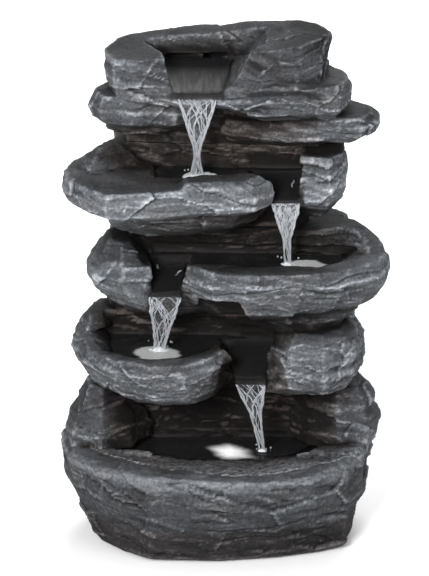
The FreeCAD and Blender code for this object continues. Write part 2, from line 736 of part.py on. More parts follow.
def lamp_emitter(lamp):
    """Round board with the light chip on it."""
    x, y, floor = LAMPS[lamp]
    base = floor - LAMP_H + 3.4
    board = rod(4.2, (x, y, base), (x, y, base + 1))
    return board.fuse(box(x - 1.75, x + 1.75, y - 1.75, y + 1.75, base + 0.5, base + 2.4))


def lamp_lens(lamp):
    """Clear dome with a flat flange that closes the capsule."""
    x, y, floor = LAMPS[lamp]
    rise, foot_r, wall = 2.6, 5.0, 0.9
    radius = (foot_r**2 + rise**2) / (2 * rise)
    centre = V(x, y, floor + rise - radius)
    flange = rod(LAMP_R - 0.2, (x, y, floor - 1), (x, y, floor))
    dome = Part.makeSphere(radius, centre).common(box(x - 6, x + 6, y - 6, y + 6, floor - 0.5, floor + 5))
    return flange.fuse(dome).cut(Part.makeSphere(radius - wall, centre))


def lamp_lead(lamp):
    return routed(LEAD_R, [lead_start(lamp)] + LEAD_CORNERS[lamp], bend=5.0)


def pump_lead():
    return routed(1.6, [(-10, 46, PUMP_TOP), (-10, 46, 70), (JUNCTION_X[1], 46, 70)], bend=6.0)


def lead_junction():
    block = box(*JUNCTION_X, *JUNCTION_Y, *JUNCTION_Z)
    return block.makeFillet(2, [e for e in block.Edges if e.BoundBox.XMin > JUNCTION_X[1] - 0.1])


# ---------------------------------------------------------------- nodes
os.makedirs("parts", exist_ok=True)
save("basin_section", basin_section())
save("lower_bowl_section", lower_section())
save("middle_bowl_section", middle_section())
save("slab_section", slab_section())
crown = top_rock()
save("top_bowl_section", trimmed(crown, JOINT_SLAB, JOINT_CROWN))
save("crown_section", trimmed(crown, JOINT_CROWN, HEIGHT))
save("rear_access_door", access_door())
save("cord_grommet", cord_grommet())
for number, pad in enumerate(foot_pads(), 1):
    save(f"foot_pad_{number}", pad)

save("pump_housing", pump_housing())
save("volute_cover", volute_cover())
save("strainer_cover", strainer_cover())
save("flow_dial", flow_dial())
save("impeller", impeller())
save("rotor_magnet", rotor_magnet())
save("rotor_pin", along_y(PIN_R, COVER_Y, ROTOR_END_Y + 1.5))
save("front_bush", along_y(BUSH_R, COVER_Y, VOLUTE_Y).cut(along_y(PIN_R, COVER_Y - 1, VOLUTE_Y + 1)))
save("rear_bush", along_y(BUSH_R, ROTOR_END_Y, ROTOR_END_Y + 1.5).cut(along_y(PIN_R, ROTOR_END_Y - 1, ROTOR_END_Y + 2)))
for number, (x, y) in enumerate([(-12, 41), (12, 41), (12, 53), (-12, 53)], 1):
    save(f"suction_cup_{number}", suction_cup(x, y))

save("riser_hose", tube(HOSE_R, HOSE_BORE_R, (0, HOSE_Y, HOSE_Z[0]), (0, HOSE_Y, HOSE_Z[1])))
save("top_outlet_fitting", top_fitting())
for lamp in LAMPS:
    save(f"{lamp}_lamp_body", lamp_body(lamp))
    save(f"{lamp}_lamp_emitter", lamp_emitter(lamp))
    save(f"{lamp}_lamp_lens", lamp_lens(lamp))
    save(f"{lamp}_lamp_lead", lamp_lead(lamp))
save("pump_lead", pump_lead())
save("lead_junction", lead_junction())
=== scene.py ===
"""Tabletop water fountain: the looks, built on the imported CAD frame.

Blender works in metres. Rock and water shapes are worked out in millimetres and scaled when a mesh is made.
"""

import math
from collections import namedtuple

import bmesh
import bpy
import numpy as np
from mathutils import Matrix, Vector
from mathutils.bvhtree import BVHTree


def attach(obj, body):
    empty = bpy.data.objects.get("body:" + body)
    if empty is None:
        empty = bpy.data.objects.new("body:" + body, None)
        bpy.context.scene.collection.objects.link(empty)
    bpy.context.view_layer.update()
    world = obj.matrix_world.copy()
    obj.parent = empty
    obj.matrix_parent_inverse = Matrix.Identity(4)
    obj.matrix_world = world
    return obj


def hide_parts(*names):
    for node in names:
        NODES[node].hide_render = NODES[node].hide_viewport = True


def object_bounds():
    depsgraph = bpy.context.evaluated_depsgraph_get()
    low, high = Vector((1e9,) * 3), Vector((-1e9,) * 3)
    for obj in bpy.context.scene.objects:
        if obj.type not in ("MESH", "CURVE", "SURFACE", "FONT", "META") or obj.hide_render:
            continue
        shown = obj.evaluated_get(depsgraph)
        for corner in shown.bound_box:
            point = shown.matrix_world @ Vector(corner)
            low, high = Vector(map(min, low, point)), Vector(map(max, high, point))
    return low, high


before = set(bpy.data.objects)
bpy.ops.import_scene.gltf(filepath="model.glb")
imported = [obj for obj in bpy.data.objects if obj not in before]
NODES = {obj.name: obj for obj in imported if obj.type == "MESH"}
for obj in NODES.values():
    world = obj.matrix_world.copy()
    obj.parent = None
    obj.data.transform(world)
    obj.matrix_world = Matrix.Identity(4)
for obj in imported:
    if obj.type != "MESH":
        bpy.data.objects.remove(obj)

CAD_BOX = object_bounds()
MM = 0.001
ROCK_NODES = (
    "basin_section",
    "lower_bowl_section",
    "middle_bowl_section",
    "slab_section",
    "top_bowl_section",
    "crown_section",
    "rear_access_door",
)
TRIANGLE_BUDGET = 175000
TRIANGLES_PER_SQUARE = 2.75  # about what a remesh makes from each voxel-sized square of surface
SMALLEST_VOXEL = 1.0
OVERHANG = 2.0  # how far relief may pass the CAD's box
FOOT_HEIGHT = 3.5  # the part of a rock that is drawn down into the one below
ROCK_SEED = 40
scene = bpy.context.scene


# ---------------------------------------------------------------- noise on arrays of points
def hashed(i, j, k, seed):
    """Repeatable 32-bit numbers for lattice points."""
    h = i * 374761393 + j * 668265263 + k * 1440662683 + seed * 1274126177
    h = (h ^ (h >> 13)) & 0xFFFFFFFF
    h = (h * 1103515245 + 12345) & 0xFFFFFFFF
    h = (h ^ (h >> 15)) & 0xFFFFFFFF
    h = (h * 1274126177) & 0xFFFFFFFF
    return h ^ (h >> 16)


def noise(points, scale, seed):
    """Gradient noise, about -1 to 1. scale is the feature size in mm, one number or three."""
    q = points / scale
    base = np.floor(q).astype(np.int64)
    f = q - base
    fade = f * f * f * (f * (f * 6 - 15) + 10)
    total = np.zeros(len(points))
    for corner in range(8):
        dx, dy, dz = corner & 1, (corner >> 1) & 1, corner >> 2
        h = hashed(base[:, 0] + dx, base[:, 1] + dy, base[:, 2] + dz, seed)
        gx = (h & 1023) / 511.5 - 1
        gy = ((h >> 10) & 1023) / 511.5 - 1
        gz = ((h >> 20) & 1023) / 511.5 - 1
        dot = gx * (f[:, 0] - dx) + gy * (f[:, 1] - dy) + gz * (f[:, 2] - dz)
        weight = fade[:, 0] if dx else 1 - fade[:, 0]
        weight = weight * (fade[:, 1] if dy else 1 - fade[:, 1])
        weight = weight * (fade[:, 2] if dz else 1 - fade[:, 2])
        total += dot * weight
    return total * 1.5


def fbm(points, scale, seed, octaves=3, gain=0.5):
    """Noise with finer noise on it: each octave has half the size and gain times the strength."""
    scale = np.asarray(scale, dtype=float)
    total, amount = np.zeros(len(points)), 1.0
    for octave in range(octaves):
        total += amount * noise(points, scale / 2**octave, seed + octave)
        amount *= gain
    return total


def chips(points, scale, seed):
    """Flat facets broken at cell borders, as chiselled stone has. About -1 to 1."""
    q = points / np.asarray(scale, dtype=float)
    base = np.floor(q).astype(np.int64)
    best = np.full(len(points), 1e9)
    value = np.zeros(len(points))
    for neighbour in range(27):
        cell = base + np.array([neighbour % 3, neighbour // 3 % 3, neighbour // 9]) - 1
        h = hashed(cell[:, 0], cell[:, 1], cell[:, 2], seed)
        g = hashed(cell[:, 0], cell[:, 1], cell[:, 2], seed + 71)
        centre = cell + np.stack([h & 1023, (h >> 10) & 1023, (h >> 20) & 1023], 1) / 1023
        slope = np.stack([g & 1023, (g >> 10) & 1023, (g >> 20) & 1023], 1) / 511.5 - 1
        away = q - centre
        distance = (away**2).sum(1)
        tilt = (away * slope).sum(1) + ((g >> 5) & 255) / 512 - 0.25
        nearer = distance < best
        best = np.where(nearer, distance, best)
        value = np.where(nearer, tilt, value)
    return value


def ramp(values, low, high):
    """0 below low, 1 above high, smooth between."""
    t = np.clip((values - low) / (high - low), 0, 1)
    return t * t * (3 - 2 * t)


def above(values, low, high):
    """0 up to one percentile of the values and 1 from another."""
    a, b = np.percentile(values, (low, high))
    return np.clip((values - a) / max(b - a, 1e-9), 0, 1)


def cracks(points, scale, width, seed):
    """1 on thin broken lines that run along the longer scales, 0 elsewhere."""
    line = 1 - np.clip(np.abs(noise(points, scale, seed)) / width, 0, 1)
    gaps = ramp(noise(points, np.asarray(scale, dtype=float) * 0.8, seed + 9), -0.15, 0.2)
    return line * gaps


# ---------------------------------------------------------------- how open each place is, which sets the painted shade
class Surroundings:
    """The share of directions in which each place can see out, on a coarse grid of the whole object."""

    STEP = 3.0
    MARGIN = 24.0
    DIRECTIONS = 40
    FIRST_STEP = 1.6
    DOUBLINGS = 5
    IN_FRONT = 4.5  # how far off the surface it is read, so that the rock's own cells don't count

    def __init__(self):
        self.low = np.array(CAD_BOX[0]) / MM - self.MARGIN
        high = np.array(CAD_BOX[1]) / MM + self.MARGIN
        self.count = np.ceil((high - self.low) / self.STEP).astype(int)
        solid = np.zeros(self.count, dtype=bool)
        for name in ROCK_NODES:
            self.fill(solid, NODES[name])
        seen = np.zeros(self.count)
        golden = math.pi * (3 - math.sqrt(5))
        for k in range(self.DIRECTIONS):
            z = 1 - (2 * k + 1) / self.DIRECTIONS
            flat = math.sqrt(1 - z * z)
            way = np.array([flat * math.cos(golden * k), flat * math.sin(golden * k), z])
            seen += ~self.blocked(solid, way)
        self.open = seen / self.DIRECTIONS

    def fill(self, solid, rock):
        """Marks the cells inside one closed mesh, column by column."""
        tree = tree_of(rock)
        top = (self.low[2] + self.count[2] * self.STEP) * MM
        for i in range(self.count[0]):
            for j in range(self.count[1]):
                x = (self.low[0] + (i + 0.52) * self.STEP) * MM
                y = (self.low[1] + (j + 0.47) * self.STEP) * MM
                heights = crossings(tree, x, y, top)
                for upper, lower in zip(heights[::2], heights[1::2]):
                    a = int(round((lower / MM - self.low[2]) / self.STEP))
                    b = int(round((upper / MM - self.low[2]) / self.STEP))
                    solid[i, j, a:b] = True

    def moved(self, grid, offset):
        """The grid as seen from cells that lie an offset back."""
        out = np.zeros_like(grid)
        take, put = [], []
        for size, shift in zip(grid.shape, offset):
            take.append(slice(max(shift, 0), size + min(shift, 0)))
            put.append(slice(max(-shift, 0), size + min(-shift, 0)))
        out[tuple(put)] = grid[tuple(take)]
        return out

    def blocked(self, solid, way):
        """Which cells meet rock somewhere along a direction, by steps that double in length."""
        reached = self.moved(solid, np.round(way * self.FIRST_STEP).astype(int))
        for doubling in range(self.DOUBLINGS):
            reached = reached | self.moved(reached, np.round(way * 2**doubling).astype(int))
        return reached

    def at(self, points, normals):
        """0 deep in a recess, about 0.5 on an open face and more on an outer edge."""
        q = (points + normals * self.IN_FRONT - self.low) / self.STEP - 0.5
        base = np.floor(q).astype(int)
        f = q - base
        total = np.zeros(len(points))
        for corner in range(8):
            d = np.array([corner & 1, (corner >> 1) & 1, corner >> 2])
            cell = np.clip(base + d, 0, self.count - 1)
            weight = np.prod(np.where(d, f, 1 - f), axis=1)
            total += weight * self.open[cell[:, 0], cell[:, 1], cell[:, 2]]
        return total


def tree_of(obj):
    return BVHTree.FromPolygons([v.co for v in obj.data.vertices], [p.vertices for p in obj.data.polygons])


def crossings(tree, x, y, top):
    """Heights in metres where a line straight down meets a closed mesh, highest first."""
    heights, z = [], top
    while len(heights) < 40:
        hit = tree.ray_cast(Vector((x, y, z)), Vector((0, 0, -1)))[0]
        if hit is None:
            break
        heights.append(hit.z)
        z = hit.z - 1e-5
    return heights


surroundings = Surroundings()


# ---------------------------------------------------------------- mesh helpers
def link(name, mesh):
    obj = bpy.data.objects.new(name, mesh)
    scene.collection.objects.link(obj)
    return obj


def mesh_of(name, points, faces):
    """A smooth mesh from points in mm."""
    mesh = bpy.data.meshes.new(name)
    mesh.from_pydata((np.asarray(points) * MM).tolist(), [], faces)
    mesh.update()
    mesh.shade_smooth()
    return mesh


def read_points(mesh):
    flat = np.empty(len(mesh.vertices) * 3)
    mesh.vertices.foreach_get("co", flat)
    return flat.reshape(-1, 3) / MM


def write_points(mesh, points):
    mesh.vertices.foreach_set("co", (points * MM).ravel())
    mesh.update()


def read_normals(mesh):
    flat = np.empty(len(mesh.vertices) * 3)
    mesh.vertex_normals.foreach_get("vector", flat)
    return flat.reshape(-1, 3)


def smoother(mesh):
    """A function that averages per-vertex values with their neighbours."""
    pairs = np.empty(len(mesh.edges) * 2, dtype=np.int32)
    mesh.edges.foreach_get("vertices", pairs)
    a, b = pairs.reshape(-1, 2).T
    ends, others = np.concatenate([a, b]), np.concatenate([b, a])
    count = np.maximum(np.bincount(ends, minlength=len(mesh.vertices)), 1)

    def smooth(values, times, share=0.6):
        for _ in range(times):
            columns = values.reshape(len(values), -1)
            sums = [np.bincount(ends, column[others], len(count)) for column in columns.T]
            mean = np.stack(sums, 1) / count[:, None]
            values = values + share * (mean.reshape(values.shape) - values)
        return values

    return smooth


def store(mesh, name, values):
    """Keeps per-vertex numbers, or colours in linear light, on the mesh."""
    if values.ndim == 1:
        layer = mesh.attributes.new(name, "FLOAT", "POINT")
        layer.data.foreach_set("value", values.astype(np.float32))
    else:
        layer = mesh.attributes.new(name, "FLOAT_COLOR", "POINT")
        rgba = np.ones((len(values), 4), dtype=np.float32)
        rgba[:, :3] = values
        layer.data.foreach_set("color", rgba.ravel())


# ---------------------------------------------------------------- shader helpers
# A mix node's colour sockets, by number because its other sockets share their names.
COLOUR_IN = (6, 7)
COLOUR_OUT = 2


def material(name, **settings):
    """A new material and its main shader. Settings are sockets, with _ for a space."""
    made = bpy.data.materials.new(name)
    made.use_nodes = True
    shader = made.node_tree.nodes["Principled BSDF"]
    for key, value in settings.items():
        shader.inputs[key.replace("_", " ")].default_value = value
    return made, shader


def node(made, kind, **settings):
    new = made.node_tree.nodes.new(kind)
    for key, value in settings.items():
        if hasattr(new, key):
            setattr(new, key, value)
        else:
            new.inputs[key.replace("_", " ")].default_value = value
    return new


def wire(made, source, output, target, socket):
    made.node_tree.links.new(source.outputs[output], target.inputs[socket])


def texture(made, scale, detail=3.0, roughness=0.55, stretch=(1, 1, 1)):
    """Noise in the object's own coordinates. scale is per metre."""
    place = node(made, "ShaderNodeTexCoord")
    mapping = node(made, "ShaderNodeMapping")
    mapping.inputs["Scale"].default_value = stretch
    grain = node(made, "ShaderNodeTexNoise", Scale=scale, Detail=detail, Roughness=roughness)
    wire(made, place, "Object", mapping, "Vector")
    wire(made, mapping, "Vector", grain, "Vector")
    return grain


def remap(made, source, output, low, high, to_low, to_high):
    """A number moved from one range to another."""
    span = node(made, "ShaderNodeMapRange")
    for socket, value in (("From Min", low), ("From Max", high), ("To Min", to_low), ("To Max", to_high)):
        span.inputs[socket].default_value = value
    wire(made, source, output, span, "Value")
    return span


def times(made, first, first_out, second, second_out):
    """The product of two colours."""
    product = node(made, "ShaderNodeMix", data_type="RGBA", blend_type="MULTIPLY")
    product.inputs["Factor"].default_value = 1.0
    wire(made, first, first_out, product, COLOUR_IN[0])
    wire(made, second, second_out, product, COLOUR_IN[1])
    return product


def blended(made, factor, output, first, second):
    """A colour between two fixed ones."""
    mix = node(made, "ShaderNodeMix", data_type="RGBA")
    mix.inputs[COLOUR_IN[0]].default_value = (*first, 1)
    mix.inputs[COLOUR_IN[1]].default_value = (*second, 1)
    wire(made, factor, output, mix, "Factor")
    return mix


def bumpy(made, shader, height, output, distance, strength=0.6):
    bump = node(made, "ShaderNodeBump", Strength=strength, Distance=distance)
    wire(made, height, output, bump, "Height")
    wire(made, bump, "Normal", shader, "Normal")


# ---------------------------------------------------------------- where the water goes
# A channel from one tier to the next: the ends of its floor's middle line, its half width at both, and how
# dark it is.
Spillway = namedtuple("Spillway", "rear front rear_half front_half darkness")
SPILLWAYS = {
    "crown": Spillway((-16.5, 20, 262), (-15.5, -21, 255.2), 18.5, 12.5, 0.85),
    "slab": Spillway((28.5, 10, 201.5), (32.7, -17, 193.1), 13.5, 7.8, 0.93),
    "middle": Spillway((-33, 10, 153), (-33.4, -26, 142.1), 10, 7.1, 0.86),
    "lower": Spillway((13, 10, 104.5), (13.5, -27, 92.0), 13, 7.0, 0.88),
}
# A hollow that holds water: the water's level, and the hollow's reach in x and in y.
Pool = namedtuple("Pool", "level across along")
POOLS = {
    "basin": Pool(48.5, (-62, 54), (-37, 13)),
    "lower": Pool(107.0, (-68, 10), (-40, 15)),
    "middle": Pool(155.5, (-45, 68), (-22, 13)),
    "slab": Pool(204.0, (-42, 44), (-15, 13)),
}
POOL_DARKNESS = 0.8


def chute_at(spillway, y):
    """The spillway's middle, floor height and half width at each y."""
    rear, front = spillway.rear, spillway.front
    t = (rear[1] - y) / (rear[1] - front[1])
    middle = rear[0] + (front[0] - rear[0]) * t
    floor = rear[2] + (front[2] - rear[2]) * t
    return middle, floor, spillway.rear_half + (spillway.front_half - spillway.rear_half) * t


def wetness(points):
    """1 where water runs, 1 where it runs or stands, and how far that darkens the stone."""
    wet, dark = np.zeros(len(points)), np.zeros(len(points))
    x, y, z = points.T
    for spillway in SPILLWAYS.values():
        rear_y, front_y = spillway.rear[1], spillway.front[1]
        middle, floor, half = chute_at(spillway, np.clip(y, front_y - 3, rear_y + 4))
        inside = ramp(half + 3.5 - np.abs(x - middle), 0, 2.4)
        low = ramp(floor + 13.0 - z, 0, 7.0) * ramp(z - floor + 5, 0, 3)
        reach = ramp(y - front_y + 3.5, 0, 2.5) * ramp(rear_y + 8 - y, 0, 4)
        wet = np.maximum(wet, inside * reach * low * ramp(floor + 5 - z, 0, 4))
        dark = np.maximum(dark, inside * low * reach * spillway.darkness)
    running = wet.copy()
    for level, (x0, x1), (y0, y1) in POOLS.values():
        inside = ramp(x - x0, 0, 4) * ramp(x1 - x, 0, 4) * ramp(y - y0, 0, 4) * ramp(y1 + 3 - y, 0, 4)
        pooled = inside * ramp(level + 3.0 - z, 0, 2.5) * ramp(z - level + 22, 0, 4)
        wet, dark = np.maximum(wet, pooled), np.maximum(dark, POOL_DARKNESS * pooled)
    return running, wet, dark


# ---------------------------------------------------------------- stone
# Profiles up the object, each made of (height, value).
# How light the colour is at each height: partly the paint's own tone, partly painted light and shade.
# It is lowest at the necks between the tiers (painted shade) and highest on the fronts of the slab and
# the bowls, which face the light (painted light). It is low towards the basin's foot as well.
TONE_WITH_PAINTED_LIGHT = (
    (0, 0.22), (17, 0.27), (22, 0.56), (44, 0.62), (50, 0.9), (54, 0.9), (58, 0.75), (84, 0.8), (91, 1.1),
    (108, 1.15), (112, 1.4), (118, 1.0), (122, 0.36), (129, 0.42), (134, 1.2), (150, 1.4), (163, 0.95),
    (172, 0.45), (184, 0.55), (191, 1.6), (205, 1.5), (212, 0.9), (219, 0.6), (228, 1.05), (245, 1.05),
    (258, 0.95), (270, 0.9), (281, 0.85),
)
# What share of it is left in the deepest shade.
SHADE_LEFT = (
    (0, 0.04), (60, 0.05), (120, 0.04), (200, 0.05), (209, 0.22), (226, 0.24), (236, 0.10), (281, 0.10),
)
# How chipped and grainy the stone is: most of all along the rims of the basin and the lower bowl.
CHIPPING = (
    (0, 1.0), (42, 1.1), (47, 2.2), (54, 2.0), (58, 1.1), (86, 1.1), (92, 2.1), (108, 1.9), (116, 1.1),
    (150, 1.2), (190, 1.0), (281, 0.9),
)
BASE_PAINT = 0.056
BRUSHED_PAINT = 0.30
# How light the painted highlight along the crest of the basin's rim is.
CREST_HIGHLIGHT = 0.42
DARKEST, LIGHTEST = 0.003, 0.6
COOL = np.array([0.94, 1.0, 1.09])
WARM = np.array([1.22, 0.98, 0.86])


def by_height(profile, points):
    heights, values = zip(*profile)
    return np.interp(points[:, 2], heights, values)


def steepness(normals):
    """0 where the stone lies level, 1 where it stands upright."""
    return np.sqrt(np.clip(1 - normals[:, 2] ** 2, 0, 1))


def bent(points):
    """Points pushed about and dipped, so that layers wander instead of running level."""
    push = np.stack([fbm(points, 30, ROCK_SEED + k, 2) for k in (1, 2, 3)], 1)
    moved = points + 3.5 * push
    moved[:, 2] += 0.10 * points[:, 0] - 0.08 * points[:, 1] + 6 * noise(points, 75, ROCK_SEED + 4)
    return moved


def stone_relief(points, layered, normals):
    """How far each place stands out, in mm, from broad swells down to grain."""
    side = steepness(normals)
    rough = by_height(CHIPPING, points)
    swells = 0.9 * fbm(points, 40, ROCK_SEED + 10, 2)
    facets = 1.7 * chips(layered, (38, 38, 17), ROCK_SEED + 20) * (0.3 + 0.7 * side)
    flakes = 0.38 * rough * chips(layered, (15, 15, 5), ROCK_SEED + 30) * (0.2 + 0.8 * side)
    layers = 0.60 * fbm(layered, (60, 60, 5.5), ROCK_SEED + 40, 3) * side
    splits = 1.1 * cracks(layered, (70, 70, 9), 0.05, ROCK_SEED + 50) * side
    grain = 0.19 * rough * fbm(points, 3.6, ROCK_SEED + 70, 3, 0.65)
    return swells + facets + flakes + layers - splits + grain


def rim_line(points):
    """How far each place lies behind the crest of the basin's rim, in mm, and 1 where it is on the rim."""
    x, y, z = points.T
    behind = y + 64 - 0.0065 * (x - 2) ** 2 + 2.4 * fbm(points, 11, 7, 3, 0.6)
    return behind, ramp(z, 42.5, 44.5) * ramp(57 - z, 0, 2) * ramp(-y, 20, 30)


def rim_crest_highlight(points, normals):
    """A painted highlight along the crest of the basin's rim, broken in places, 0 to 1."""
    behind, rim = rim_line(points)
    line = np.exp(-((behind / 0.9) ** 2)) * rim * ramp(normals[:, 2], 0.1, 0.4)
    return line * ramp(noise(points, 1.8, 8) + 0.45, 0, 0.7) * ramp(noise(points, 14, 9) + 0.5, 0, 0.6)


def crown_bands(points, layered):
    """Darker layers down the right of the crown: what share of the paint they leave."""
    bands = above(-fbm(layered, (45, 45, 5), ROCK_SEED + 140, 3), 45, 85)
    return 1 - 0.72 * bands * ramp(points[:, 0], 4, 18) * ramp(points[:, 2], 228, 236)


def stone_colour_with_painted_light(points, layered, normals, sharp, broad, openness, dark):
    """Dry-brushed paint in linear light, with painted light and shade. A dark wash and painted shade
    darken the hollows, light paint picks out the crests, painted shade darkens the recesses, the faces
    that look down and a little the level tops, and the basin's rim takes painted light and a painted
    highlight.
    sharp and broad say how far each place stands out from what is next to it and from what is round it."""
    side = steepness(normals)
    tone = by_height(TONE_WITH_PAINTED_LIGHT, points)
    behind, rim = rim_line(points)
    # Painted shade follows how open each place is; on the inner slope of the basin's rim it is mostly lifted.
    beach = ramp(behind, -2, 0) * rim
    shade = np.maximum(ramp(openness, 0.16, 0.50), 0.72 * beach)

    patches = fbm(points, 32, ROCK_SEED + 80, 3)
    streaks = fbm(layered, (24, 24, 2.6), ROCK_SEED + 90, 3, 0.6)
    dots = noise(points, 1.8, ROCK_SEED + 95)
    light = BASE_PAINT * tone * (1 + 0.34 * patches + 0.30 * streaks + 0.10 * dots)
    # Painted light on the basin's rim: lighter on its top in front of the crest, and more on its inner slope.
    light *= 1 + 0.9 * rim * ramp(-behind, 0, 2)
    light *= (1 + beach * (2.0 + 4.0 * dots)) * crown_bands(points, layered)

    crest = 0.95 * above(sharp, 74, 99) + 0.5 * above(broad, 75, 99)
    lines = cracks(layered, (34, 34, 3.4), 0.09, ROCK_SEED + 120) * (0.2 + 0.8 * side)
    brushed = np.clip(crest * (0.75 + 0.6 * streaks + 0.5 * dots) + 0.35 * lines, 0, 1)
    brushed *= (0.7 + 0.3 * ramp(points[:, 2], 30, 48)) * (1 - 0.6 * rim * ramp(-behind, 1, 3))
    light += (BRUSHED_PAINT * (0.35 + 0.65 * tone) - light) * brushed * 0.75

    seams = cracks(layered, (55, 55, 5), 0.10, ROCK_SEED + 110)
    # Darker in the seams, and in the hollows, where this is both the paint's dark wash and painted shade.
    hollow = 0.65 * above(-sharp, 72, 99) + 0.45 * above(-broad, 66, 98) + 0.5 * seams
    light *= 1 - 0.8 * np.clip(hollow, 0, 1)
    # Painted shade: faces that look down are darker, and level tops a little darker.
    up, down = np.clip(normals[:, 2], 0, 1), np.clip(-normals[:, 2], 0, 1)
    light *= (1 - 0.30 * up) * (1 - 0.5 * down)

    left = by_height(SHADE_LEFT, points)
    lit_ledges = above(fbm(layered, (26, 26, 2.6), ROCK_SEED + 130, 3, 0.6), 84, 99)
    # Painted shade in the recesses, down to the share SHADE_LEFT leaves; wet stone is darker as well.
    light *= (left + (1 - left) * shade**1.5) * (1 - dark)
    # Painted light on the lines and ledges that stand in the shaded recesses, as if they caught the light.
    light += (0.012 * lines + 0.05 * lit_ledges * side) * (1 - shade) * (1 - dark)
    # The crest of the basin's rim keeps its painted highlight however dark the painted shade is.
    light = np.clip(np.maximum(light, CREST_HIGHLIGHT * rim_crest_highlight(points, normals)), DARKEST, LIGHTEST)

    # A warm brown goes with the painted shade and with wet stone, and towards the basin's foot, over cool
    # grey.
    brown = np.clip(0.9 * (1 - shade) + 0.28 * fbm(points, 24, ROCK_SEED + 99, 2) + 0.3 * dark, 0, 1)
    brown = np.maximum(brown, 0.45 * ramp(22 - points[:, 2], 0, 6))[:, None]
    return light[:, None] * (COOL * (1 - brown) + WARM * brown)


def joined(name, sources):
    """One mesh from copies of several nodes' meshes."""
    made = bmesh.new()
    for source in sources:
        made.from_mesh(NODES[source].data)
    mesh = bpy.data.meshes.new(name)
    made.to_mesh(mesh)
    made.free()
    return mesh


def remeshed(piece):
    """The piece's mesh remade of even small faces, as fine as its triangle budget allows."""
    area = sum(p.area for p in piece.data.polygons) / MM**2
    shape = piece.modifiers.new("shape", "REMESH")
    shape.mode = "VOXEL"
    shape.voxel_size = max(SMALLEST_VOXEL, math.sqrt(TRIANGLES_PER_SQUARE * area / TRIANGLE_BUDGET)) * MM
    piece.data = bpy.data.meshes.new_from_object(piece.evaluated_get(bpy.context.evaluated_depsgraph_get()))
    piece.modifiers.clear()
    return piece.data


def stone(piece_name, body, sources, sunk=2.5, keep=None):
    """A finely modelled rock over one or more CAD sections. Its foot is sunk into the rock below by some mm.
    keep(normals) says how much of the relief each place takes."""
    piece = link(piece_name, joined(piece_name, sources))
    mesh = remeshed(piece)
    smooth = smoother(mesh)
    points = smooth(read_points(mesh), 2)
    write_points(mesh, points)
    normals = smooth(read_normals(mesh), 4)
    normals /= np.maximum(np.linalg.norm(normals, axis=1, keepdims=True), 1e-9)
    foot = points[:, 2].min()
    running, wet, dark = wetness(points)
    layered = bent(points)
    hold = ramp(points[:, 2], 1.5, 5.0) * (1 - 0.75 * running)
    if keep:
        hold *= keep(normals)
    points = points + normals * (stone_relief(points, layered, normals) * hold)[:, None]
    points[:, 2] -= sunk * (1 - ramp(points[:, 2], foot, foot + FOOT_HEIGHT))
    points = np.clip(points, np.array(CAD_BOX[0]) / MM - OVERHANG, np.array(CAD_BOX[1]) / MM + OVERHANG)
    write_points(mesh, points)
    normals = read_normals(mesh)
    sharp = ((points - smooth(points, 4)) * normals).sum(1)
    broad = ((points - smooth(points, 26)) * normals).sum(1)
    openness = surroundings.at(points, smooth(normals, 6))
    store(mesh, "tint_with_painted_light", stone_colour_with_painted_light(points, layered, normals, sharp, broad, openness, dark))
    store(mesh, "wet", wet)
    mesh.shade_smooth()
    mesh.materials.clear()
    mesh.materials.append(STONE)
    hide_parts(*sources)
    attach(piece, body)


def stone_material():
    """Cast stone. Its paint, painted light and shade included, comes from the mesh:
    tint_with_painted_light, and wet where water runs.
    """
    made, shader = material("cast_stone", Specular_IOR_Level=0.14)
    tint_with_painted_light = node(made, "ShaderNodeAttribute", attribute_name="tint_with_painted_light")
    wet = node(made, "ShaderNodeAttribute", attribute_name="wet")
    grain = texture(made, 620, detail=4, roughness=0.75)
    speckle = remap(made, grain, "Fac", 0.32, 0.70, 0.55, 1.58)
    bedding = texture(made, 75, detail=5, roughness=0.65, stretch=(1, 1, 4.5))
    streak = remap(made, bedding, "Fac", 0.3, 0.7, 0.80, 1.2)
    coloured = times(made, tint_with_painted_light, "Color", speckle, "Result")
    streaked = times(made, coloured, COLOUR_OUT, streak, "Result")
    wire(made, streaked, COLOUR_OUT, shader, "Base Color")
    gloss = remap(made, wet, "Fac", 0, 1, 0.86, 0.40)
    wire(made, gloss, "Result", shader, "Roughness")
    bumpy(made, shader, texture(made, 900, detail=5, roughness=0.75), "Fac", 0.0009, 0.6)
    return made


def facing_rear(normals):
    """1 on the door's outer face, 0 on its edges and inside, which slide past the rock."""
    return ramp(normals[:, 1], 0.55, 0.9)


STONE = stone_material()
stone("basin_rock", "fountain", ("basin_section",), sunk=0)
stone("lower_bowl_rock", "fountain", ("lower_bowl_section",))
stone("middle_bowl_rock", "fountain", ("middle_bowl_section",))
stone("slab_rock", "fountain", ("slab_section",))
stone("crown_rock", "fountain", ("top_bowl_section", "crown_section"))
stone("door_rock_face", "door", ("rear_access_door",), sunk=0, keep=facing_rear)


# ---------------------------------------------------------------- water
def pool_material():
    """Still water over dark stone. glow is the lamp's light coming up through it,
    painted on as light that the water gives off.
    """
    made, shader = material("pool_water", Roughness=0.06, IOR=1.33, Alpha=0.9, Specular_IOR_Level=0.3)
    murk = blended(made, texture(made, 60, detail=4), "Fac", (0.006, 0.006, 0.007), (0.022, 0.021, 0.021))
    wire(made, murk, COLOUR_OUT, shader, "Base Color")
    glow = node(made, "ShaderNodeAttribute", attribute_name="glow")
    mottle = remap(made, texture(made, 420, detail=4, roughness=0.6), "Fac", 0.3, 0.7, 0.86, 1.06)
    lit = times(made, glow, "Color", mottle, "Result")
    wire(made, lit, COLOUR_OUT, shader, "Emission Color")
    shader.inputs["Emission Strength"].default_value = 1.0
    bumpy(made, shader, texture(made, 260, detail=2, stretch=(1, 1.6, 1)), "Fac", 0.0004, 0.35)
    return made


